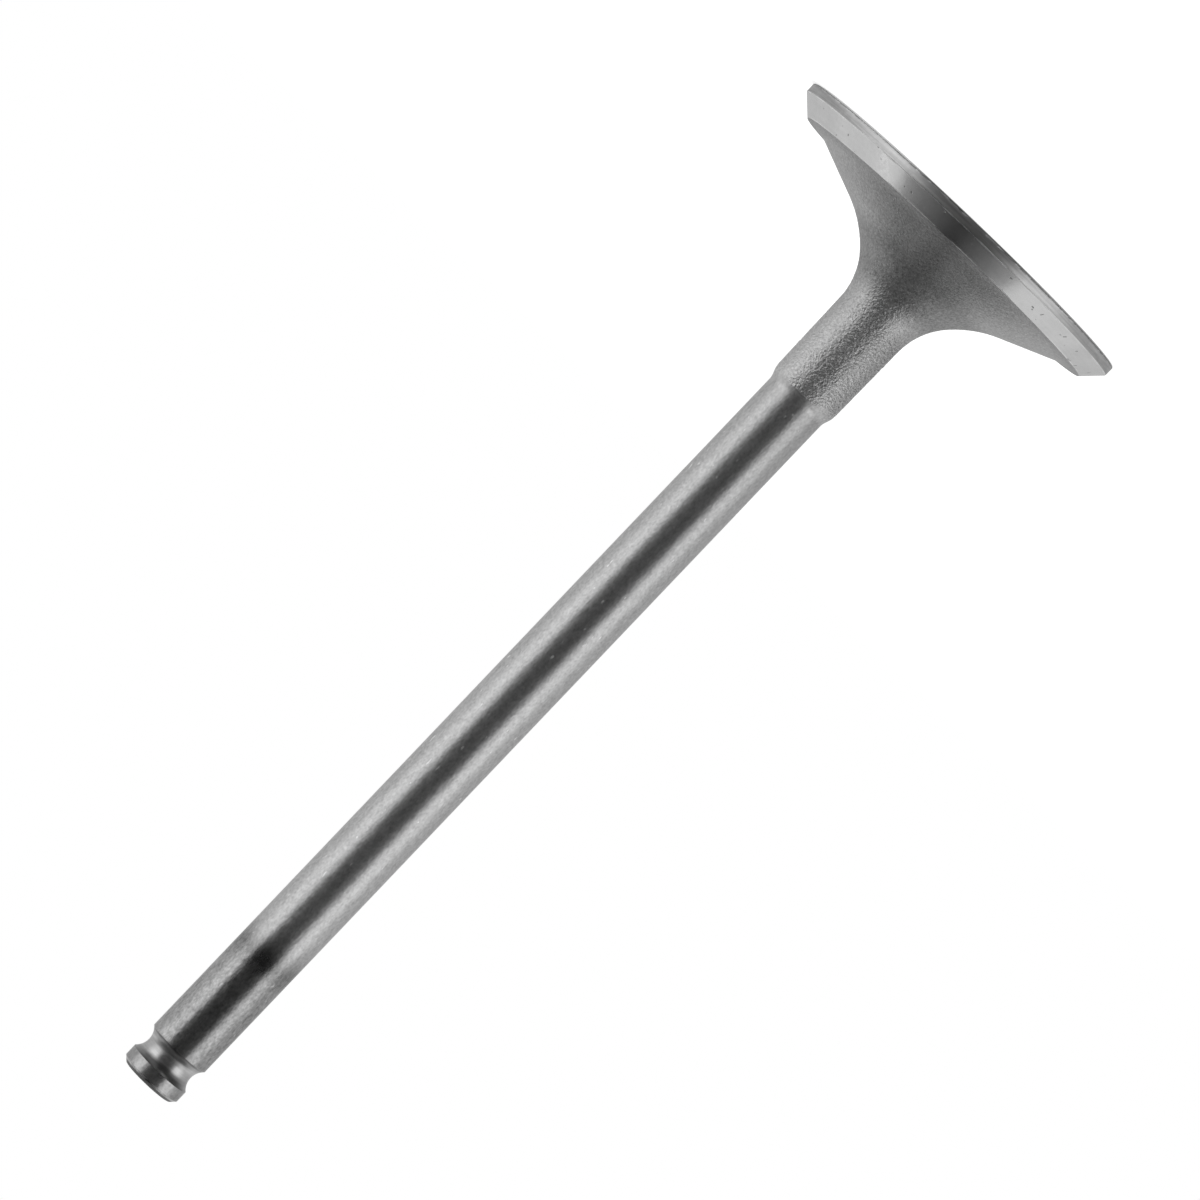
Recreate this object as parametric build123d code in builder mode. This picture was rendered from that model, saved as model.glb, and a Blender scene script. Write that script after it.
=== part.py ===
from build123d import *
from math import acos, cos, degrees, radians, sin
import os

# Poppet valve of a piston engine: one forged blank, with a head that is turned and
# ground, a neck that is left as forged, and a stem that is ground to size.
# Millimetres. The origin is the centre of the flat combustion face, and the stem
# stands up from it along +Z to the tip. Angles called "draft" or "steepness" are
# measured from the stem's axis, and the others from the plane of the face.

# Overall
overall_length = 135.0

# Head: face, margin, sealing cone, and the narrow land behind it
head_diameter = 47.0
face_edge_radius = 0.2
margin_height = 1.2
seat_angle = 45.0
seat_width = 3.05
land_width = 0.55

# Back of the head: a blend from the land into the tulip cone
land_blend_radius = 7.0
tulip_angle = 22.0

# Compound fillet between the tulip cone and the neck: a wide radius leaves the cone,
# and a tighter one takes over at the handover steepness and runs into the neck
cone_side_radius = 14.0
neck_side_radius = 8.5
handover_steepness = 43.0

# Neck: how far the forging stands proud of the ground stem at the shoulder
neck_step = 0.46
neck_draft = 0.75

# Shoulder: a rounded nose on the forged neck, and a hollow left by the grinding wheel
shoulder_nose_radius = 4.0
shoulder_hollow_radius = 2.2

# Stem: full diameter from this height up to the tip
stem_diameter = 7.96
stem_start = 27.85

# Keeper groove: one round-bottomed groove, its middle measured down from the tip
groove_radius = 2.16
groove_depth = 0.71
groove_from_tip = 3.65

# Tip
tip_chamfer = 0.6

# Corners of the head's machined rim
head_radius = head_diameter / 2
seat_inner_radius = head_radius - seat_width * cos(radians(seat_angle))
land_height = margin_height + seat_width * sin(radians(seat_angle))

# Shoulder: the two radii meet at the steepness that uses up the step between them
stem_radius = stem_diameter / 2
shoulder_steepness = degrees(acos(
    (shoulder_nose_radius * cos(radians(neck_draft)) + shoulder_hollow_radius - neck_step)
    / (shoulder_nose_radius + shoulder_hollow_radius)
))

# The compound fillet's reach: how far inward and upward its two arcs go in all
cone_steepness = 90 - tulip_angle
fillet_reach_in = (
    cone_side_radius * (cos(radians(handover_steepness)) - cos(radians(cone_steepness)))
    + neck_side_radius * (cos(radians(neck_draft)) - cos(radians(handover_steepness)))
)
fillet_reach_up = (
    cone_side_radius * (sin(radians(cone_steepness)) - sin(radians(handover_steepness)))
    + neck_side_radius * (sin(radians(handover_steepness)) - sin(radians(neck_draft)))
)
fillet_reach = Vector(-fillet_reach_in, fillet_reach_up)

with BuildPart() as engine_valve:
    with BuildSketch(Plane.XZ) as half_section:
        with BuildLine():
            # Machined rim: flat face, margin, sealing cone and land
            face = Line((0, 0), (head_radius, 0))
            margin = Line(face @ 1, (head_radius, margin_height))
            seat = Line(margin @ 1, (seat_inner_radius, land_height))
            land = Line(seat @ 1, (seat_inner_radius - land_width, land_height))
            land_blend = JernArc(land @ 1, land % 1, land_blend_radius, -tulip_angle)

            # Ground stem and shoulder, drawn from the tip down to the neck
            tip_face = Line((0, overall_length), (stem_radius, overall_length))
            stem = Line(tip_face @ 1, (stem_radius, stem_start))
            hollow = JernArc(stem @ 1, stem % 1, shoulder_hollow_radius, shoulder_steepness)
            nose = JernArc(
                hollow @ 1, hollow % 1, shoulder_nose_radius, neck_draft - shoulder_steepness
            )

            # The fillet's upper end slides along the cone's line moved by its reach, so
            # the neck ends where its drafted side meets that line
            moved_cone = PolarLine(
                land_blend @ 1 + fillet_reach, head_radius, direction=land_blend % 1,
                mode=Mode.PRIVATE
            )
            neck = IntersectingLine(nose @ 1, nose % 1, moved_cone)
            cone = Line(land_blend @ 1, neck @ 1 - fillet_reach)
            cone_side = JernArc(
                cone @ 1, cone % 1, cone_side_radius, handover_steepness - cone_steepness
            )
            neck_side = JernArc(
                cone_side @ 1, cone_side % 1, neck_side_radius, neck_draft - handover_steepness
            )

            # Axis
            Line((0, 0), (0, overall_length))
        make_face()

        # Keeper groove
        with Locations((stem_radius - groove_depth + groove_radius, overall_length - groove_from_tip)):
            Circle(groove_radius, mode=Mode.SUBTRACT)

        # Broken edges of the face and the tip
        face_corner = half_section.vertices().sort_by_distance(face @ 1)[0]
        fillet(face_corner, face_edge_radius)
        tip_corner = half_section.vertices().sort_by_distance(tip_face @ 1)[0]
        chamfer(tip_corner, tip_chamfer)
    revolve(axis=Axis.Z)

engine_valve.part.label = "engine_valve"

os.makedirs("parts", exist_ok=True)
export_step(engine_valve.part, "parts/engine_valve.step")
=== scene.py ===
from math import acos, asin, ceil, cos, degrees, pi, radians, sin, sqrt, tan

import bpy
from mathutils import Matrix, Vector


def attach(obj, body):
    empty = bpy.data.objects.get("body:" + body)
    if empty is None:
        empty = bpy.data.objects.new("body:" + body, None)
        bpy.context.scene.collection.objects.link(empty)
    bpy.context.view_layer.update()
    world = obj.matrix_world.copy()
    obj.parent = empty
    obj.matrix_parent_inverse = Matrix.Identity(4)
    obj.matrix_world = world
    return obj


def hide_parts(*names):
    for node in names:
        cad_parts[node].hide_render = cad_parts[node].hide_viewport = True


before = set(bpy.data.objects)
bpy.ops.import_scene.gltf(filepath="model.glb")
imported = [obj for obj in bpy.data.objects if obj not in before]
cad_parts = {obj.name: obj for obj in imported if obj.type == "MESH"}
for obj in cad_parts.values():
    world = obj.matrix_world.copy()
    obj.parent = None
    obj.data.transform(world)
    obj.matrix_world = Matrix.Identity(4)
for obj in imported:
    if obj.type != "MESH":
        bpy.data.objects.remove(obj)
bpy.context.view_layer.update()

MM = 0.001

# ---------------------------------------------------------------------------
# Sizes of the valve, in millimetres and degrees, as in the CAD source
# ---------------------------------------------------------------------------
OVERALL_LENGTH = 135.0
HEAD_RADIUS = 23.5
FACE_EDGE_RADIUS = 0.2
MARGIN_HEIGHT = 1.2
SEAT_ANGLE = 45.0
SEAT_WIDTH = 3.05
LAND_WIDTH = 0.55
LAND_BLEND_RADIUS = 7.0
TULIP_ANGLE = 22.0
CONE_SIDE_RADIUS = 14.0
NECK_SIDE_RADIUS = 8.5
HANDOVER_STEEPNESS = 43.0
NECK_STEP = 0.46
NECK_DRAFT = 0.75
SHOULDER_NOSE_RADIUS = 4.0
SHOULDER_HOLLOW_RADIUS = 2.2
STEM_RADIUS = 3.98
STEM_START = 27.85
GROOVE_RADIUS = 2.16
GROOVE_DEPTH = 0.71
GROOVE_FROM_TIP = 3.65
TIP_CHAMFER = 0.6

# Edges that the stones leave: a touch of radius on every ground corner
GROUND_EDGE = 0.07
GROOVE_EDGE = 0.06
TIP_EDGE = 0.05

# Corners round each ring, and how far apart the rings are along each band
SEGMENTS = 248
FACE_PITCH = 2.0
MARGIN_PITCH = 0.2
SEAT_PITCH = 0.25
LAND_PITCH = 0.11
FILLET_PITCH = 0.13
CONE_PITCH = 0.17
NECK_PITCH = 0.108
HOLLOW_PITCH = 0.1
STEM_PITCH = 12.0
GROOVE_PITCH = 0.13
TIP_PITCH = 0.8
CHAMFER_PITCH = 0.4
END_PITCH = 1.5

# How close a straight band has its first and last ring to its corners, to shade flat
FACE_GUARD = 0.35
SEAT_GUARD = 0.1
STEM_GUARD = 0.15
TIP_GUARD = 0.12

# Ring corners nearer than this are one: the seam and the two poles
SEAM_GAP = 0.0004

# Grain of the forging: its cells, its height, and the heights it lies between
GRAIN_SIZE = 0.36
GRAIN_HEIGHT = 0.14
GRAIN_START = 4.0
GRAIN_FULL = 15.0
GRAIN_END = 26.65
GRAIN_SEED = 7.0

# Feed of the facing cut for each turn
FACING_FEED = 0.28

# Where the finish of the shank changes: the start of the grinding, the heat tint, and the
# hardened end
GRINDING_START = 26.67
TINT_HEIGHT = 115.4
TINT_WIDTH = 1.7
HARDENED_FROM = 110.0
HARDENED_FULL = 119.0


# ---------------------------------------------------------------------------
# Node trees
# ---------------------------------------------------------------------------
class Wire:
    """An output socket of a node tree, with arithmetic."""

    def __init__(self, tree, socket):
        self.tree = tree
        self.socket = socket

    def __add__(self, other):
        return self.tree.math("ADD", self, other)

    def __radd__(self, other):
        return self.tree.math("ADD", other, self)

    def __sub__(self, other):
        return self.tree.math("SUBTRACT", self, other)

    def __rsub__(self, other):
        return self.tree.math("SUBTRACT", other, self)

    def __mul__(self, other):
        return self.tree.math("MULTIPLY", self, other)

    def __rmul__(self, other):
        return self.tree.math("MULTIPLY", other, self)

    def __truediv__(self, other):
        return self.tree.math("DIVIDE", self, other)

    def __rtruediv__(self, other):
        return self.tree.math("DIVIDE", other, self)

    def __neg__(self):
        return self.tree.math("MULTIPLY", self, -1.0)


class Tree:
    """A node tree under construction."""

    def __init__(self, group):
        self.group = group

    def node(self, kind, settings=None, values=None, out=0):
        """Adds a node, its settings first and then its sockets by name or place.

        It gives back the output that is asked for, or the node if that has none.
        """
        made = self.group.nodes.new(kind)
        for name, value in (settings or {}).items():
            if name == "stops":
                self.set_stops(made.color_ramp, value)
            else:
                setattr(made, name, value)
        for key, value in (values or {}).items():
            socket = made.inputs[key]
            if isinstance(value, Wire):
                self.group.links.new(value.socket, socket)
            else:
                socket.default_value = value
        return Wire(self, made.outputs[out]) if made.outputs else made

    @staticmethod
    def set_stops(ramp, stops):
        while len(ramp.elements) < len(stops):
            ramp.elements.new(1.0)
        for element, (place, grey) in zip(ramp.elements, stops):
            element.position = place
            element.color = (grey, grey, grey, 1.0)

    def math(self, operation, *terms):
        return self.node("ShaderNodeMath", {"operation": operation}, dict(enumerate(terms)))

    def vector(self, x, y, z):
        return self.node("ShaderNodeCombineXYZ", values={0: x, 1: y, 2: z})

    def split(self, vector):
        first = self.node("ShaderNodeSeparateXYZ", values={0: vector})
        return [Wire(self, first.socket.node.outputs[i]) for i in range(3)]

    def between(self, value, low, high):
        """0 below low, 1 above high, and a smooth step between them."""
        return self.node("ShaderNodeMapRange", {"interpolation_type": "SMOOTHSTEP"},
                         {"Value": value, "From Min": low, "From Max": high})

    def blend(self, share, first, second):
        return self.node("ShaderNodeMix", {"data_type": "FLOAT"}, {0: share, 2: first, 3: second})

    def ramp(self, value, stops):
        return self.node("ShaderNodeValToRGB", {"stops": stops}, {0: value})

    def noise(self, vector, scale, detail=2.0, roughness=0.5, distortion=0.0):
        """Cloudy noise about 0, nearly all of it within half a unit."""
        cloud = self.node("ShaderNodeTexNoise", {"noise_dimensions": "3D"}, {
            "Vector": vector, "Scale": scale, "Detail": detail,
            "Roughness": roughness, "Distortion": distortion,
        })
        return cloud - 0.5


def emptied_nodes(owner):
    """The node tree of a material or of the world, with nothing left in it."""
    owner.use_nodes = True
    owner.node_tree.nodes.clear()
    return owner.node_tree


def placed(name, data):
    """A new object of this data, at the origin of the scene."""
    made = bpy.data.objects.new(name, data)
    bpy.context.scene.collection.objects.link(made)
    return made


# ---------------------------------------------------------------------------
# Half section: radius and height of every ring, from the face up to the tip
# ---------------------------------------------------------------------------
FACE, MARGIN, SEAT, SHANK, GROOVE, TIP = range(6)


def straight(start, end, pitch, guard=0.0):
    """Points after start, up to end. A guard is one more ring close to each end."""
    run = Vector(end) - Vector(start)
    count = max(1, ceil(run.length / pitch))
    shares = [i / count for i in range(1, count + 1)]
    if guard:
        shares = sorted(shares + [guard / run.length, 1 - guard / run.length])
    return [Vector(start) + run * share for share in shares]


def sweep(start, heading, radius, turn, pitch):
    """Points of an arc after start. It leaves along heading, and a left turn is positive."""
    side = 1 if turn > 0 else -1
    first = radians(heading)
    centre = Vector(start) + side * radius * Vector((-sin(first), cos(first)))
    count = max(3, ceil(radius * radians(abs(turn)) / pitch))
    points = []
    for i in range(1, count + 1):
        angle = first + radians(turn) * i / count
        points.append(centre + side * radius * Vector((sin(angle), -cos(angle))))
    return points


def broken_edge(before, corner, after, radius, steps=4):
    """Points of a small radius that takes the place of a sharp corner."""
    arriving = (corner - before).normalized()
    leaving = (after - corner).normalized()
    setback = radius * tan(arriving.angle(leaving) / 2)
    first = corner - arriving * setback
    last = corner + leaving * setback
    points = []
    for i in range(steps + 1):
        t = i / steps
        points.append(first * (1 - t) ** 2 + corner * (2 * t * (1 - t)) + last * t ** 2)
    return points


def half_section():
    """Rings as (radius, height, finish of the band below the ring)."""
    seat_rise = radians(SEAT_ANGLE)
    seat_inner = HEAD_RADIUS - SEAT_WIDTH * cos(seat_rise)
    land_height = MARGIN_HEIGHT + SEAT_WIDTH * sin(seat_rise)
    tulip = radians(TULIP_ANGLE)
    draft = radians(NECK_DRAFT)
    handover = radians(HANDOVER_STEEPNESS)
    steep = pi / 2 - tulip
    shoulder = acos((SHOULDER_NOSE_RADIUS * cos(draft) + SHOULDER_HOLLOW_RADIUS - NECK_STEP)
                    / (SHOULDER_NOSE_RADIUS + SHOULDER_HOLLOW_RADIUS))

    land_end = Vector((seat_inner - LAND_WIDTH, land_height))
    blend_end = land_end + LAND_BLEND_RADIUS * Vector((-sin(tulip), 1 - cos(tulip)))
    reach = Vector((
        -CONE_SIDE_RADIUS * (cos(handover) - cos(steep))
        - NECK_SIDE_RADIUS * (cos(draft) - cos(handover)),
        CONE_SIDE_RADIUS * (sin(steep) - sin(handover))
        + NECK_SIDE_RADIUS * (sin(handover) - sin(draft)),
    ))
    neck_top = Vector((
        STEM_RADIUS + NECK_STEP,
        STEM_START - SHOULDER_HOLLOW_RADIUS * sin(shoulder)
        - SHOULDER_NOSE_RADIUS * (sin(shoulder) - sin(draft)),
    ))
    gap = neck_top - (blend_end + reach)
    cone_length = -(gap.x * cos(draft) + gap.y * sin(draft)) / cos(tulip + draft)
    cone_end = blend_end + cone_length * Vector((-cos(tulip), sin(tulip)))

    groove_half = sqrt(GROOVE_RADIUS ** 2 - (GROOVE_RADIUS - GROOVE_DEPTH) ** 2)
    groove_height = OVERALL_LENGTH - GROOVE_FROM_TIP
    groove_turn = degrees(asin(groove_half / GROOVE_RADIUS))

    rings = [(Vector((0.0, 0.0)), FACE, 0.0)]

    def add(points, finish, edge=0.0):
        """Adds a band, and says what radius breaks the corner at its end."""
        rings.extend((point, finish, 0.0) for point in points[:-1])
        rings.append((points[-1], finish, edge))

    def end():
        return rings[-1][0]

    add(straight(end(), (HEAD_RADIUS, 0.0), FACE_PITCH, FACE_GUARD), FACE, FACE_EDGE_RADIUS)
    add(straight(end(), (HEAD_RADIUS, MARGIN_HEIGHT), MARGIN_PITCH), MARGIN, GROUND_EDGE)
    add(straight(end(), (seat_inner, land_height), SEAT_PITCH, SEAT_GUARD), SEAT, GROUND_EDGE)
    add(straight(end(), land_end, LAND_PITCH), SHANK)
    add(sweep(end(), 180, LAND_BLEND_RADIUS, -TULIP_ANGLE, FILLET_PITCH), SHANK)
    add(straight(end(), cone_end, CONE_PITCH), SHANK)
    heading = 180 - TULIP_ANGLE
    turn = degrees(handover - steep)
    add(sweep(end(), heading, CONE_SIDE_RADIUS, turn, FILLET_PITCH), SHANK)
    heading += turn
    turn = degrees(draft - handover)
    add(sweep(end(), heading, NECK_SIDE_RADIUS, turn, FILLET_PITCH), SHANK)
    heading += turn
    add(straight(end(), neck_top, NECK_PITCH), SHANK)
    turn = degrees(shoulder - draft)
    add(sweep(end(), heading, SHOULDER_NOSE_RADIUS, turn, NECK_PITCH), SHANK)
    heading += turn
    add(sweep(end(), heading, SHOULDER_HOLLOW_RADIUS, -degrees(shoulder), HOLLOW_PITCH), SHANK)
    add(straight(end(), (STEM_RADIUS, groove_height - groove_half), STEM_PITCH, STEM_GUARD),
        SHANK, GROOVE_EDGE)
    add(sweep(end(), 90 + groove_turn, GROOVE_RADIUS, -2 * groove_turn, GROOVE_PITCH),
        GROOVE, GROOVE_EDGE)
    add(straight(end(), (STEM_RADIUS, OVERALL_LENGTH - TIP_CHAMFER), TIP_PITCH, TIP_GUARD),
        TIP, TIP_EDGE)
    add(straight(end(), (STEM_RADIUS - TIP_CHAMFER, OVERALL_LENGTH), CHAMFER_PITCH),
        TIP, TIP_EDGE)
    add(straight(end(), (0.0, OVERALL_LENGTH), END_PITCH, TIP_GUARD), TIP)

    section = []
    for i, (point, finish, edge) in enumerate(rings):
        if edge:
            after = rings[i + 1][0]
            for bend in broken_edge(rings[i - 1][0], point, after, edge):
                section.append((bend.x, bend.y, finish))
        else:
            section.append((point.x, point.y, finish))
    return section


def profile_object(section):
    """The half section as a string of points at X = radius and Z = height, in metres."""
    mesh = bpy.data.meshes.new("valve_half_section")
    mesh.from_pydata([(r * MM, 0.0, z * MM) for r, z, _ in section],
                     [(i, i + 1) for i in range(len(section) - 1)], [])
    finish = mesh.attributes.new("finish", "INT", "POINT")
    finish.data.foreach_set("value", [f for _, _, f in section])
    return placed("valve_half_section", mesh)


# ---------------------------------------------------------------------------
# Turning the half section into the valve
# ---------------------------------------------------------------------------
def turned_skin_tree(materials):
    """A node group that spins a half section and gives its forged part a grain."""
    group = bpy.data.node_groups.new("turned_skin", "GeometryNodeTree")
    plugs = group.interface
    plugs.new_socket("Half Section", in_out="INPUT", socket_type="NodeSocketGeometry")
    for name, kind, value in (
        ("Segments", "NodeSocketInt", SEGMENTS),
        ("Grain Size", "NodeSocketFloat", GRAIN_SIZE * MM),
        ("Grain Height", "NodeSocketFloat", GRAIN_HEIGHT * MM),
        ("Grain Start", "NodeSocketFloat", GRAIN_START * MM),
        ("Grain Full", "NodeSocketFloat", GRAIN_FULL * MM),
        ("Grain End", "NodeSocketFloat", GRAIN_END * MM),
        ("Grain Seed", "NodeSocketFloat", GRAIN_SEED),
    ):
        plugs.new_socket(name, in_out="INPUT", socket_type=kind).default_value = value
    plugs.new_socket("Skin", in_out="OUTPUT", socket_type="NodeSocketGeometry")

    tree = Tree(group)
    inlet = group.nodes.new("NodeGroupInput")
    given = {socket.name: Wire(tree, socket) for socket in inlet.outputs if socket.name}
    section = given["Half Section"]
    segments = given["Segments"]

    def whole(operation, first, second):
        return tree.node("FunctionNodeIntegerMath", {"operation": operation},
                         {0: first, 1: second})

    def sampled(kind, field, place):
        return tree.node("GeometryNodeSampleIndex", {"data_type": kind, "domain": "POINT"},
                         {"Geometry": section, "Value": field, "Index": place})

    # One column of the grid for each ring, one row for each segment and one for the seam
    rings = tree.node("GeometryNodeAttributeDomainSize", {"component": "MESH"},
                      {"Geometry": section})
    rows = whole("ADD", segments, 1)
    grid = tree.node("GeometryNodeMeshGrid", values={
        "Size X": 1.0, "Size Y": 1.0, "Vertices X": rings, "Vertices Y": rows,
    })
    index = tree.node("GeometryNodeInputIndex")
    ring = whole("DIVIDE_FLOOR", index, rows)
    row = whole("MODULO", index, rows)
    radius, _, height = tree.split(sampled("FLOAT_VECTOR", tree.node("GeometryNodeInputPosition"),
                                           ring))
    angle = row * (2 * pi) / segments
    spun = tree.vector(radius * tree.math("COSINE", angle), radius * tree.math("SINE", angle),
                       height)

    band = whole("ADD", whole("DIVIDE_FLOOR", index, segments), 1)
    finish = tree.node("GeometryNodeInputNamedAttribute", {"data_type": "INT"},
                       {"Name": "finish"})
    marked = tree.node("GeometryNodeStoreNamedAttribute", {"data_type": "INT", "domain": "FACE"}, {
        "Geometry": grid, "Name": "finish", "Value": sampled("INT", finish, band),
    })
    skin = tree.node("GeometryNodeSetPosition", values={"Geometry": marked, "Position": spun})
    skin = tree.node("GeometryNodeMergeByDistance", values={"Geometry": skin,
                                                           "Distance": SEAM_GAP * MM})

    # Forged grain: full on the neck, fading down the back and ending at the ground shoulder
    place = tree.node("GeometryNodeInputPosition")
    x, y, z = tree.split(place)
    wander = tree.noise(place, 700.0, 1.0) * (0.35 * MM)
    fade = tree.between(z, given["Grain Start"], given["Grain Full"]) * 0.65 + 0.35
    inside = tree.between(z, given["Grain Start"] - 0.4 * MM, given["Grain Start"] + 1.0 * MM)
    ended = 1 - tree.between(z + wander, given["Grain End"] - 0.12 * MM,
                             given["Grain End"] + 0.12 * MM)
    shifted = tree.vector(x, y, z + given["Grain Seed"])
    grain = tree.noise(shifted, 1 / given["Grain Size"], 1.5, 0.55, 0.6)
    lift = grain * given["Grain Height"] * fade * inside * ended
    normal = tree.node("GeometryNodeInputNormal")
    offset = tree.node("ShaderNodeVectorMath", {"operation": "SCALE"},
                       {0: normal, "Scale": lift})
    skin = tree.node("GeometryNodeSetPosition", values={"Geometry": skin, "Offset": offset})
    skin = tree.node("GeometryNodeSetShadeSmooth", values={"Geometry": skin})
    skin = tree.node("GeometryNodeRealizeInstances", values={"Geometry": skin})
    skin = tree.node("GeometryNodeSetMaterial", values={"Geometry": skin,
                                                       "Material": materials[FACE]})
    for number, material in enumerate(materials):
        if number == FACE:
            continue
        chosen = tree.node("FunctionNodeCompare", {"data_type": "INT", "operation": "EQUAL"},
                           {2: finish, 3: number})
        skin = tree.node("GeometryNodeSetMaterial", values={
            "Geometry": skin, "Selection": chosen, "Material": material,
        })
    tree.node("NodeGroupOutput", values={"Skin": skin})
    return group


def turned_piece(name, section, materials, sizes):
    """Spins the half section with the node group, and keeps the result as a plain mesh."""
    source = profile_object(section)
    group = turned_skin_tree(materials)
    modifier = source.modifiers.new("turned_skin", "NODES")
    modifier.node_group = group
    for item in group.interface.items_tree:
        if item.in_out == "INPUT" and item.name in sizes:
            modifier[item.identifier] = sizes[item.name]
    bpy.context.view_layer.update()
    evaluated = source.evaluated_get(bpy.context.evaluated_depsgraph_get())
    mesh = bpy.data.meshes.new_from_object(evaluated)
    mesh.name = name
    for slot in reversed(range(len(mesh.materials))):
        if mesh.materials[slot] is None:  # The empty slot that the grid brings along
            mesh.materials.pop(index=slot)
    bpy.data.objects.remove(source)
    return placed(name, mesh)


# ---------------------------------------------------------------------------
# Finishes
# ---------------------------------------------------------------------------
class Steel(Tree):
    """A bare steel finish. Its coordinates are the valve's own, in millimetres."""

    def __init__(self, name):
        self.material = bpy.data.materials.new(name)
        super().__init__(emptied_nodes(self.material))
        place = self.node("ShaderNodeTexCoord", out="Object")
        self.place = self.node("ShaderNodeVectorMath", {"operation": "SCALE"},
                               {0: place, "Scale": 1 / MM})
        self.x, self.y, self.z = self.split(self.place)
        self.radius = self.math("SQRT", self.x * self.x + self.y * self.y)

    def stretched(self, across, along):
        """Coordinates for a pattern with cells so many millimetres across and along."""
        return self.vector(self.x / across, self.y / across, self.z / along)

    def ringed(self, pitch, run):
        """Coordinates for marks that run round the axis: fine down the section, long round it."""
        return self.vector(self.x / run, self.y / run, (self.z + self.radius * 0.37) / pitch)

    def finish(self, grey, roughness, height):
        """Ends the material: grey of the steel, roughness, and height in millimetres."""
        normal = self.node("ShaderNodeBump", values={
            "Strength": 1.0, "Distance": 1 * MM, "Height": height,
        })
        surface = self.node("ShaderNodeBsdfPrincipled", values={
            "Base Color": grey, "Metallic": 1.0, "Roughness": roughness, "Normal": normal,
            "Specular Tint": (0.8, 0.8, 0.8, 1.0),
        })
        self.node("ShaderNodeOutputMaterial", values={"Surface": surface})
        return self.material


def shank_steel():
    """As forged on the neck and the back of the head, and ground on the stem."""
    s = Steel("forged_and_ground_steel")
    wander = s.noise(s.place, 0.9, 2.0) * 0.25
    ground = s.between(s.z + wander, GRINDING_START - 0.07, GRINDING_START + 0.07)

    # Forged skin: open grain on the neck, closer and darker on the back of the head
    on_neck = s.between(s.z, 10.5, 18.5)
    open_grain = s.between(s.z, 8.5, 12.5)
    # The concave curve from the back of the head into the neck is painted a third darker: painted
    # shade
    shaded_fillet = s.between(s.z, 6.3, 8.3) * (1 - s.between(s.z, 10.5, 14.0))
    # The -X side of the neck is made 12 percent darker
    minus_x_neck_side = s.between(-s.x, 0.3, 2.2) * s.between(s.z, 12.5, 17.0)
    blotch = s.noise(s.place, 0.45, 3.0)
    coarse = s.noise(s.place, 2.4, 2.0, 0.6)
    pore = s.noise(s.place, 3.7, 2.0, 0.6)
    forged_grey = (s.blend(on_neck, 0.51, 0.665) + blotch * 0.06
                   + coarse * s.blend(on_neck, 0.42, 0.08)
                   + pore * s.blend(open_grain, 0.6, 0.56)) \
        * (1 - minus_x_neck_side * 0.12) * (1 - shaded_fillet * 0.33)
    forged_rough = s.blend(on_neck, 0.37, 0.375) + shaded_fillet * 0.07 + blotch * 0.06
    forged_height = (
        s.noise(s.place, 2.9, 2.0, 0.6, 0.8) * s.blend(open_grain, 0.033, 0.085)
        + s.noise(s.place, 4.6, 1.0) * s.blend(open_grain, 0.014, 0.06)
    )

    # Ground stem, with a heat tint and a hardened end. Along the front and the back both are
    # painted darker still: painted shade, the dark reflected band down the middle of the stem
    cloud = s.noise(s.stretched(1.4, 5.0), 1.0, 3.0)
    streak = s.noise(s.stretched(0.5, 1.6), 1.0, 2.0)
    mottle = s.noise(s.stretched(0.5, 0.65), 1.0, 2.0)
    fine = s.noise(s.stretched(0.27, 0.36), 1.0, 1.0)
    # Rare small spots painted near white: painted glints
    glint_fleck = s.between(s.noise(s.stretched(0.55, 1.2), 1.0, 1.0), 0.225, 0.28)
    hardened = s.between(s.z + cloud * 1.5, HARDENED_FROM, HARDENED_FULL)
    # The -X side of the hardened end is made 8 percent darker
    minus_x_end_side = s.between(-s.x, 0.0, 3.0) * hardened
    # The strip along the front and the back that carries this painted shade
    painted_dark_band = 1 - s.between(s.math("ABSOLUTE", s.x + mottle * 1.2), 1.0, 1.9)
    tint_place = (s.z - TINT_HEIGHT + cloud * 0.8 + mottle * 2.2) / TINT_WIDTH
    tint = s.math("EXPONENT", tint_place * tint_place * -1.0)
    darker = s.between(s.z + cloud * 1.5, HARDENED_FROM - 1.5, HARDENED_FULL - 3.0) * painted_dark_band
    ground_grey = (0.58 + cloud * 0.06 + streak * (0.14 + hardened * 0.22) + glint_fleck * 0.35
                   + mottle * (0.24 + hardened * 0.12) + fine * (0.32 + hardened * 0.2)) \
        * (1 - hardened * 0.27) * (1 - darker * 0.22) * (1 - minus_x_end_side * 0.08) \
        * (1 - tint * (0.4 + painted_dark_band * 0.2))
    ground_rough = 0.36 + cloud * 0.04 + streak * 0.05 + glint_fleck * 0.12 \
        - hardened * 0.07 - tint * 0.05
    ground_height = s.noise(s.stretched(0.6, 1.2), 1.0, 2.0) * 0.018 \
        + mottle * (0.014 + hardened * 0.003) + fine * 0.008

    return s.finish(
        s.blend(ground, forged_grey, ground_grey),
        s.blend(ground, forged_rough, ground_rough),
        s.blend(ground, forged_height + 0.004, ground_height),
    )


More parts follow.
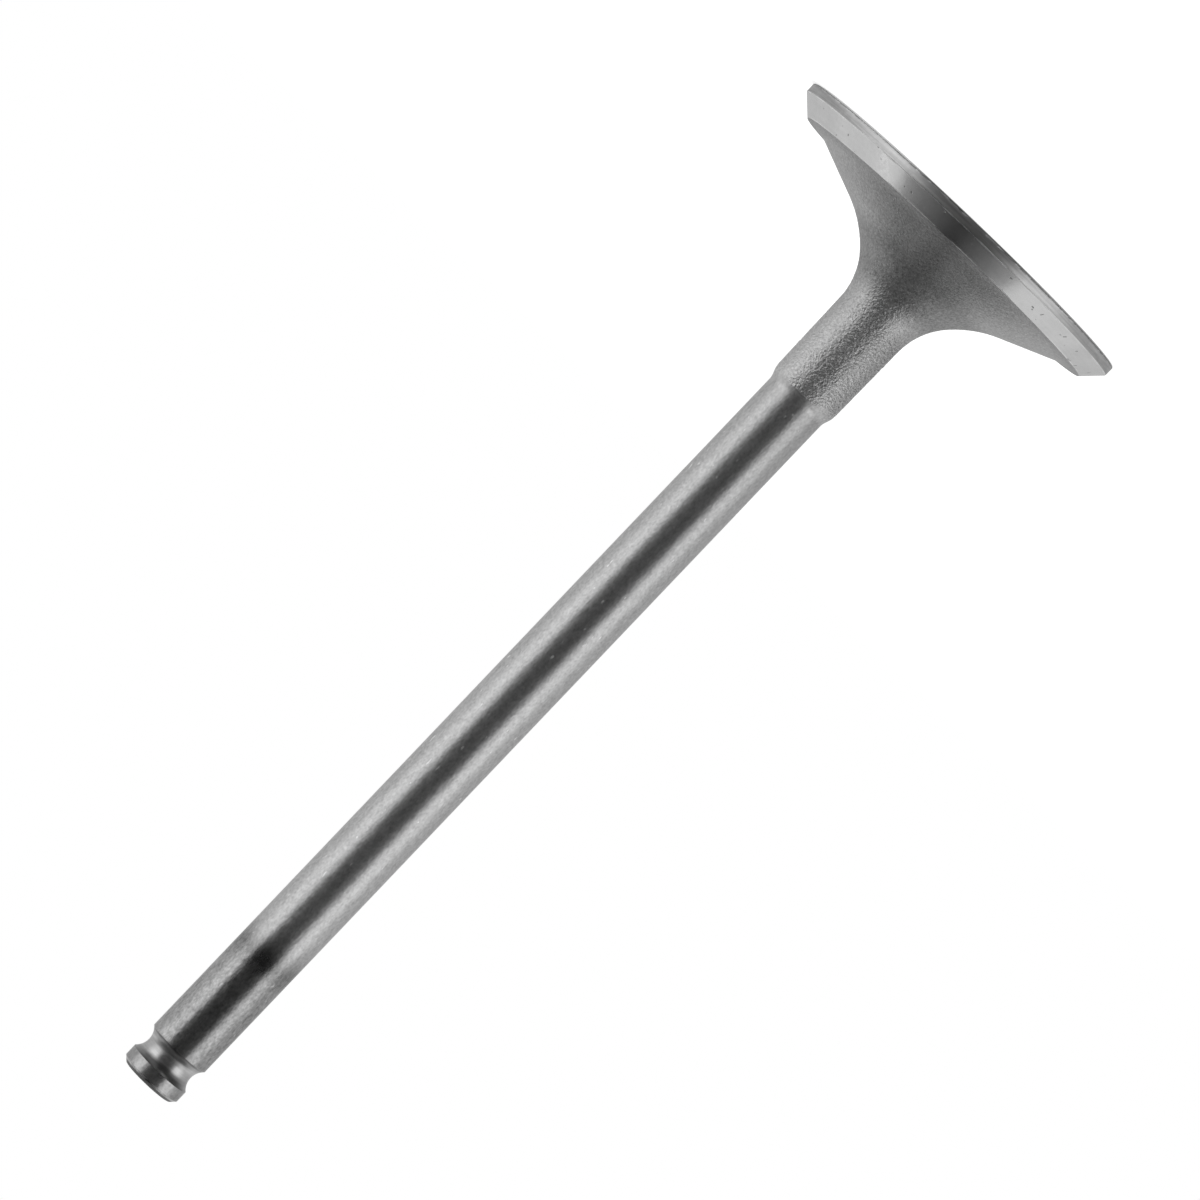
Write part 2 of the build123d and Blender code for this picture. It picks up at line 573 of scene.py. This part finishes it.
def seat_steel():
    """Ground sealing cone, with wear on its corners painted bright as highlights, and a few pits.
    """
    s = Steel("ground_seat_steel")
    cloud = s.noise(s.place, 0.35, 3.0)
    mottle = s.noise(s.place, 1.5, 2.0)
    lines = s.noise(s.ringed(0.24, 6.0), 1.0, 2.0)
    pit = s.between(s.noise(s.place, 1.4, 1.0) + s.between(-s.x, 9.0, 15.0) * 0.035, 0.245, 0.28)
    seat_top = MARGIN_HEIGHT + SEAT_WIDTH * sin(radians(SEAT_ANGLE))
    # Both corners wear in dashes, and they are painted bright: painted highlights where the edges
    # catch the light
    lower_corner = 1 - s.between(s.z, MARGIN_HEIGHT + 0.06, MARGIN_HEIGHT + 0.17)
    upper_corner = s.between(s.z, seat_top - 0.14, seat_top - 0.04)
    wear_and_highlight = (lower_corner + upper_corner) \
        * s.between(s.noise(s.stretched(2.6, 1.2), 1.0, 2.0), -0.12, 0.1)
    slant = s.x + s.z * 0.85
    scuffed = s.between(slant, 11.3, 12.4) * (1 - s.between(slant, 12.9, 14.4)) \
        * s.between(-s.y, 0.0, 5.0)
    scuff = s.between(s.noise(s.place, 1.6, 3.0, 0.6), -0.1, 0.12) * scuffed
    return s.finish(
        0.61 + cloud * 0.05 + mottle * 0.08 + lines * 0.08 - pit * 0.22 + wear_and_highlight * 0.32
        + scuff * 0.15,
        0.17 + cloud * 0.03 + mottle * 0.02 + pit * 0.15 + wear_and_highlight * 0.32 + scuff * 0.06,
        lines * 0.001 + mottle * 0.002 + cloud * 0.012 - pit * 0.02,
    )


def margin_steel():
    """Turned edge of the head."""
    s = Steel("turned_margin_steel")
    cloud = s.noise(s.place, 0.5, 3.0)
    mottle = s.noise(s.place, 1.7, 2.0)
    lines = s.noise(s.ringed(0.24, 5.0), 1.0, 2.0)
    # The foot of the margin, next to the floor, is painted 22 percent darker and made rougher:
    # painted shade
    corner = 1 - s.between(s.z, 0.1, 0.22)
    return s.finish(
        (0.54 + cloud * 0.08 + mottle * 0.12 + lines * 0.4) * (1 - corner * 0.22),
        0.3 + cloud * 0.05 + corner * 0.12,
        lines * 0.006 + mottle * 0.008,
    )


def face_steel():
    """Turned combustion face, with the fine feed marks of the facing cut."""
    s = Steel("turned_face_steel")
    cloud = s.noise(s.place, 0.2, 3.0)
    feed = s.math("SINE", s.radius * (2 * pi / FACING_FEED) + cloud * 3.0)
    return s.finish(0.54 + cloud * 0.05, 0.33 + cloud * 0.04, feed * 0.0012)


def groove_steel():
    """Turned keeper groove, with darker flanks that lie a little askew: partly discoloured steel,
    partly painted shade in the groove.
    """
    s = Steel("turned_groove_steel")
    cloud = s.noise(s.place, 0.9, 3.0)
    mottle = s.noise(s.place, 2.2, 2.0)
    lines = s.noise(s.ringed(0.3, 4.0), 1.0, 2.0)
    middle = OVERALL_LENGTH - GROOVE_FROM_TIP
    tilted = s.z - s.x * 0.08
    above = tilted - middle + cloud * 0.2
    below = middle - tilted + cloud * 0.1
    sides = s.between(s.math("ABSOLUTE", s.x + cloud * 0.8), 1.9, 3.1)
    # Both flanks are darkened: discoloured steel, and painted shade down in the groove
    tip_flank = s.between(above, 0.5, 0.95) * (0.66 - s.between(-s.x, -0.4, 1.4) * 0.3) \
        * (1 - sides * 0.45) + s.between(above, 1.15, 1.4) * 0.1
    stem_flank = s.between(below + mottle * 0.3, 0.55, 0.8) * (1 - sides) * 0.4 \
        + s.between(middle - s.z, 0.8, 1.15) * sides * 0.27 \
        + s.between(middle - s.z + cloud * 0.1, 1.3, 1.4) * (0.14 + sides * 0.13)
    stain_and_shade = tip_flank + stem_flank
    return s.finish(
        (0.55 + cloud * 0.08 + mottle * 0.14 + lines * 0.35) * (1 - stain_and_shade),
        0.3 + cloud * 0.04,
        lines * 0.014 + mottle * 0.006,
    )


def tip_steel():
    """Hardened and ground tip, with a darker and rougher band on the upper part of its chamfer."""
    s = Steel("ground_tip_steel")
    cloud = s.noise(s.place, 0.7, 3.0)
    mottle = s.noise(s.place, 1.9, 2.0)
    fine = s.noise(s.place, 3.4, 1.0)
    land_end = OVERALL_LENGTH - TIP_CHAMFER
    # A bright line where the land meets the chamfer: a painted highlight on the edge, also a
    # little smoother
    chamfer_edge_highlight = s.between(s.z, land_end - 0.02, land_end + 0.06)
    # The upper part of the chamfer is made 40 percent darker and much rougher
    upper_chamfer_band = s.between(s.z, land_end + 0.2, land_end + 0.32)
    end = 1 - s.between(s.radius, STEM_RADIUS - TIP_CHAMFER - 0.08, STEM_RADIUS - TIP_CHAMFER)
    # Towards the ±X sides the tip is painted 14 percent darker: painted shade
    sides = s.between(s.math("ABSOLUTE", s.x), 2.2, 3.2) * (1 - end)
    return s.finish(
        (0.46 + cloud * 0.12 + mottle * 0.3 + fine * 0.2 + chamfer_edge_highlight * 0.12 + end * 0.08)
        * (1 - upper_chamfer_band * (1 - end) * 0.4) * (1 - sides * 0.14),
        0.28 + cloud * 0.04 - chamfer_edge_highlight * 0.08 + upper_chamfer_band * (0.43 - end * 0.15),
        mottle * 0.02 + fine * 0.004,
    )


# ---------------------------------------------------------------------------
# The valve
# ---------------------------------------------------------------------------
finishes = [face_steel(), margin_steel(), seat_steel(), shank_steel(), groove_steel(), tip_steel()]
valve = turned_piece("engine_valve_skin", half_section(), finishes, {
    "Segments": SEGMENTS,
    "Grain Size": GRAIN_SIZE * MM,
    "Grain Height": GRAIN_HEIGHT * MM,
})
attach(valve, "root")
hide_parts("engine_valve")


# ---------------------------------------------------------------------------
# Studio, in metres
# ---------------------------------------------------------------------------
FLOOR_RADIUS = 40.0
FLOOR_DROP = 0.00002
PAPER_GREY = 0.8
PAPER_FILL = 0.5
SKY_LEVEL = 0.7
TENT_RADIUS = 1.5
TENT_FOOT = 0.00005
TENT_LEVEL = 1.18
LAMP_PLACE = Vector((-0.35, 0.25, 0.9))
LAMP_SIZE = 0.7
LAMP_POWER = 3.0
WHITE = (1.0, 1.0, 1.0, 1.0)


def flat_disc(name, radius, height, sides=96):
    """A round sheet that lies at this height."""
    mesh = bpy.data.meshes.new(name)
    corners = [(radius * cos(2 * pi * i / sides), radius * sin(2 * pi * i / sides), height)
               for i in range(sides)]
    mesh.from_pydata(corners, [], [list(range(sides))])
    return placed(name, mesh)


def seen_or_mirrored(tree):
    """1 for rays from the camera and for those that gloss or glass sends on, else 0."""
    path = tree.node("ShaderNodeLightPath", out="Is Camera Ray")
    outputs = path.socket.node.outputs
    seen = path + Wire(tree, outputs["Is Glossy Ray"]) + Wire(tree, outputs["Is Transmission Ray"])
    return tree.math("MINIMUM", seen, 1.0)


def floor_material():
    """Pale paper: lit as it is, with a fill that brings it up to white for the eye."""
    material = bpy.data.materials.new("pale_paper")
    tree = Tree(emptied_nodes(material))
    paper = tree.node("ShaderNodeBsdfDiffuse", values={
        "Color": (PAPER_GREY, PAPER_GREY, PAPER_GREY, 1.0),
    })
    fill = tree.node("ShaderNodeEmission", values={
        "Color": WHITE, "Strength": seen_or_mirrored(tree) * PAPER_FILL,
    })
    both = tree.node("ShaderNodeAddShader", values={0: paper, 1: fill})
    tree.node("ShaderNodeOutputMaterial", values={"Surface": both})
    return material


def white_world():
    """White where it is seen or mirrored, and a plain level where it lights."""
    world = bpy.data.worlds.new("white_studio")
    bpy.context.scene.world = world
    tree = Tree(emptied_nodes(world))
    level = tree.blend(seen_or_mirrored(tree), SKY_LEVEL, 1.0)
    sky = tree.node("ShaderNodeBackground", values={"Color": WHITE, "Strength": level})
    tree.node("ShaderNodeOutputWorld", values={"Surface": sky})


def tent_material():
    """Panels of the light tent, by bearing from the front and by height, in degrees.

    Bearings are positive towards +X. The front, the top and the middle of the back are
    dark, and the bright panels stand on both sides. Three rings of cloth lie on the table
    round the head: foot at its edge, near beyond it, and the dark cloth out to the panels.
    """
    material = bpy.data.materials.new("light_tent_panels")
    tree = Tree(emptied_nodes(material))
    place = tree.node("ShaderNodeTexCoord", out="Object")
    x, y, z = tree.split(place)
    reach = tree.math("SQRT", x * x + y * y)
    bearing = tree.math("ARCTAN2", x, -y) / (2 * pi) + 0.5
    height = tree.math("ARCTAN2", z, reach) * (180 / pi)

    def panels_at(*stops):
        return tree.ramp(bearing, [(turn / 360 + 0.5, grey) for turn, grey in stops])

    near = panels_at((-180, 0.48), (-64, 0.48), (-53, 0.5), (-43, 0.83), (-33, 0.88),
                     (-28, 0.85), (-23, 0.5), (-18, 0.26), (-12, 0.11), (-4, 0.08), (4, 0.1),
                     (12, 0.19), (18, 0.34), (23, 0.58), (28, 0.95), (36, 0.85), (43, 0.88),
                     (53, 0.76), (58, 0.58), (64, 0.34), (70, 0.36), (80, 0.48), (180, 0.48))
    cloth = panels_at((-180, 0.2), (-138, 0.1), (-90, 0.06), (-42, 0.05), (-32, 0.04),
                      (20, 0.06), (42, 0.4), (60, 0.5), (80, 0.42), (140, 0.3), (180, 0.3))
    low = panels_at((-180, 0.5), (-160, 0.66), (-142, 0.5), (-100, 0.48), (-84, 0.62),
                    (-73, 1.0), (-45.5, 1.0), (-36.5, 0.045), (36.5, 0.045), (45.5, 1.0),
                    (78, 0.95), (97, 0.56), (142, 0.54), (160, 0.68), (180, 0.5))
    rise = panels_at((-180, 0.35), (-170, 0.72), (-160, 0.74), (-142, 0.64), (-102, 0.6),
                     (-90, 0.58), (-78, 0.72), (-66, 0.95), (-50, 0.8), (-40, 0.25), (-18, 0.05),
                     (18, 0.05), (40, 0.25), (54, 0.75), (70, 0.85), (86, 0.64), (114, 0.6),
                     (142, 0.64), (160, 0.74), (170, 0.72), (180, 0.35))
    upper = panels_at((-180, 0.04), (-168, 0.28), (-160, 0.46), (-150, 0.68), (-135, 0.75),
                      (-110, 0.6), (-90, 0.42), (-66, 0.55), (-42, 0.25), (-15, 0.06), (15, 0.06),
                      (42, 0.17), (66, 0.38), (90, 0.42), (110, 0.6), (135, 0.75),
                      (150, 0.68), (160, 0.46), (168, 0.28), (180, 0.04))
    high = panels_at((-180, 0.0), (-146, 0.04), (-134, 0.45), (-126, 0.76), (-112, 0.74),
                     (-108, 0.82), (-100, 0.8), (-91, 0.12), (-45, 0.08), (45, 0.08), (91, 0.12),
                     (100, 0.8), (108, 0.9), (113, 0.72), (126, 0.72), (134, 0.45), (146, 0.04),
                     (180, 0.0))
    top = panels_at((-180, 0.02), (-140, 0.05), (-125, 0.34), (-88, 0.34), (-68, 0.25),
                    (-30, 0.2), (30, 0.2), (68, 0.25), (88, 0.29), (125, 0.29), (140, 0.05),
                    (180, 0.02))
    foot = panels_at((-180, 0.4), (-27, 0.45), (-18, 0.17), (16, 0.17), (24, 0.85), (58, 0.85),
                     (74, 0.45), (180, 0.4))

    # Each ring takes over between two distances, each tier between two heights, and the
    # very top loses some of its light in three steps
    glow = foot
    for start, full, ring in ((0.0245, 0.027, near), (0.045, 0.056, cloth), (0.1, 0.4, low)):
        glow = tree.blend(tree.between(reach, start, full), glow, ring)
    for start, full, tier in ((14, 24, rise), (28, 40, upper), (45, 53, high), (65.5, 69.5, top)):
        glow = tree.blend(tree.between(height, start, full), glow, tier)
    for start, full, loss in ((69.5, 77, 0.5), (77, 84, 0.38), (84, 87, 0.75)):
        glow = glow * (1 - tree.between(height, start, full) * loss)
    light = tree.node("ShaderNodeEmission", values={"Color": glow, "Strength": TENT_LEVEL})
    tree.node("ShaderNodeOutputMaterial", values={"Surface": light})
    material.cycles.emission_sampling = "NONE"
    return material


def light_tent(radius, foot, sides=48, tiers=12):
    """A dome of panels round the valve, which only its reflections see."""
    mesh = bpy.data.meshes.new("light_tent")
    corners = [(0.0, 0.0, foot)]
    for tier in range(tiers):
        rise = pi / 2 * tier / tiers
        corners += [(radius * cos(rise) * cos(2 * pi * i / sides),
                     radius * cos(rise) * sin(2 * pi * i / sides),
                     max(foot, radius * sin(rise))) for i in range(sides)]
    corners.append((0.0, 0.0, radius))
    top = len(corners) - 1
    panels = []
    for i in range(sides):
        j = (i + 1) % sides
        panels.append((0, 1 + j, 1 + i))
        for tier in range(tiers - 1):
            low = 1 + tier * sides
            panels.append((low + i, low + j, low + sides + j, low + sides + i))
        panels.append((top - sides + i, top - sides + j, top))
    mesh.from_pydata(corners, [], panels)
    mesh.materials.append(tent_material())
    tent = placed("light_tent", mesh)
    tent.visible_camera = False
    tent.visible_diffuse = False
    tent.visible_transmission = False
    tent.visible_volume_scatter = False
    tent.visible_shadow = False
    return tent


floor = flat_disc("floor", FLOOR_RADIUS, -FLOOR_DROP)
floor.data.materials.append(floor_material())
tent = light_tent(TENT_RADIUS, TENT_FOOT)
white_world()

lamp = bpy.data.lights.new("overhead_softbox", "AREA")
lamp.shape = "DISK"
lamp.size = LAMP_SIZE
lamp.energy = LAMP_POWER
lamp_stand = placed("overhead_softbox", lamp)
lamp_stand.matrix_world = Matrix.Translation(LAMP_PLACE) @ \
    LAMP_PLACE.to_track_quat("Z", "Y").to_matrix().to_4x4()
lamp_stand.visible_glossy = False


# ---------------------------------------------------------------------------
# Camera: a long lens, level with the lower stem and rolled over
# ---------------------------------------------------------------------------
CAMERA_PLACE = Vector((0.0, -785.0, 42.51)) * MM
CAMERA_AIM = Vector((0.55, 0.0, 59.448)) * MM
CAMERA_ROLL = -2.3803
SENSOR = 36.0
FOCAL_PIXELS = 6878.3
IMAGE_PIXELS = 1200.0

forward = (CAMERA_AIM - CAMERA_PLACE).normalized()
level = forward.cross(Vector((0.0, 0.0, 1.0))).normalized()
upright = level.cross(forward)
right = level * cos(CAMERA_ROLL) + upright * sin(CAMERA_ROLL)
up = upright * cos(CAMERA_ROLL) - level * sin(CAMERA_ROLL)
camera = bpy.data.cameras.new("camera")
camera.sensor_width = SENSOR
camera.lens = SENSOR * FOCAL_PIXELS / IMAGE_PIXELS
camera.clip_start = 0.01
camera.clip_end = 200.0
camera_stand = placed("camera", camera)
camera_stand.matrix_world = Matrix((
    (right.x, up.x, -forward.x, CAMERA_PLACE.x),
    (right.y, up.y, -forward.y, CAMERA_PLACE.y),
    (right.z, up.z, -forward.z, CAMERA_PLACE.z),
    (0.0, 0.0, 0.0, 1.0),
))
bpy.context.scene.camera = camera_stand
bpy.context.scene.view_settings.view_transform = "Standard"
